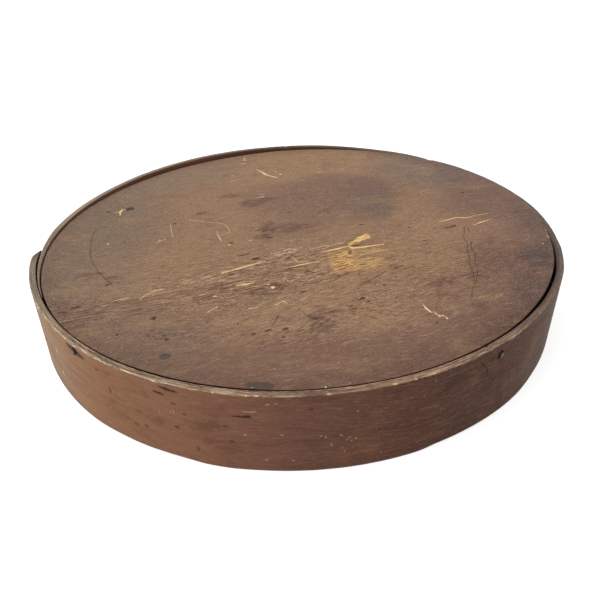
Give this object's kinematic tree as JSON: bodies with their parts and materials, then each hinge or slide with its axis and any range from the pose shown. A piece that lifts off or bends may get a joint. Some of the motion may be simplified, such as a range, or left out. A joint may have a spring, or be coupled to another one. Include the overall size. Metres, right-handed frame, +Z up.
{
  "type": "cheese box",
  "caption": "Shallow round bentwood cheese box: a full-depth lid with a sunken board and a lapped band slides down over a lower base of the same make.",
  "frame": {"origin": "centre of the round base's underside, on the surface that the box stands on", "axes": "+Z up, the way the lid lifts; the picture looks along +Y with +X to its right, and the lid's lap is on the -X side"},
  "size_m": [0.392, 0.39, 0.0565],
  "materials": {
    "lid_board_wood": "bare pine, darkened and scratched",
    "lid_band_wood": "bent strip with a worn reddish brown stain",
    "base_board_wood": "bare pine",
    "base_band_wood": "bare bent strip",
    "nail_iron": "dark oxidised iron"
  },
  "bodies": {
    "base": {"base_board": "base_board_wood", "base_band": "base_band_wood", "base_board_nails": "nail_iron", "base_lap_tacks": "nail_iron"},
    "lid": {"lid_board": "lid_board_wood", "lid_band": "lid_band_wood", "lid_board_nails": "nail_iron", "lid_lap_tacks": "nail_iron"}
  },
  "joints": [
    {"name": "lid_lift", "type": "slide", "parent": "base", "child": "lid", "axis": [0, 0, 1], "range_m": [0, 0.15]}
  ]
}
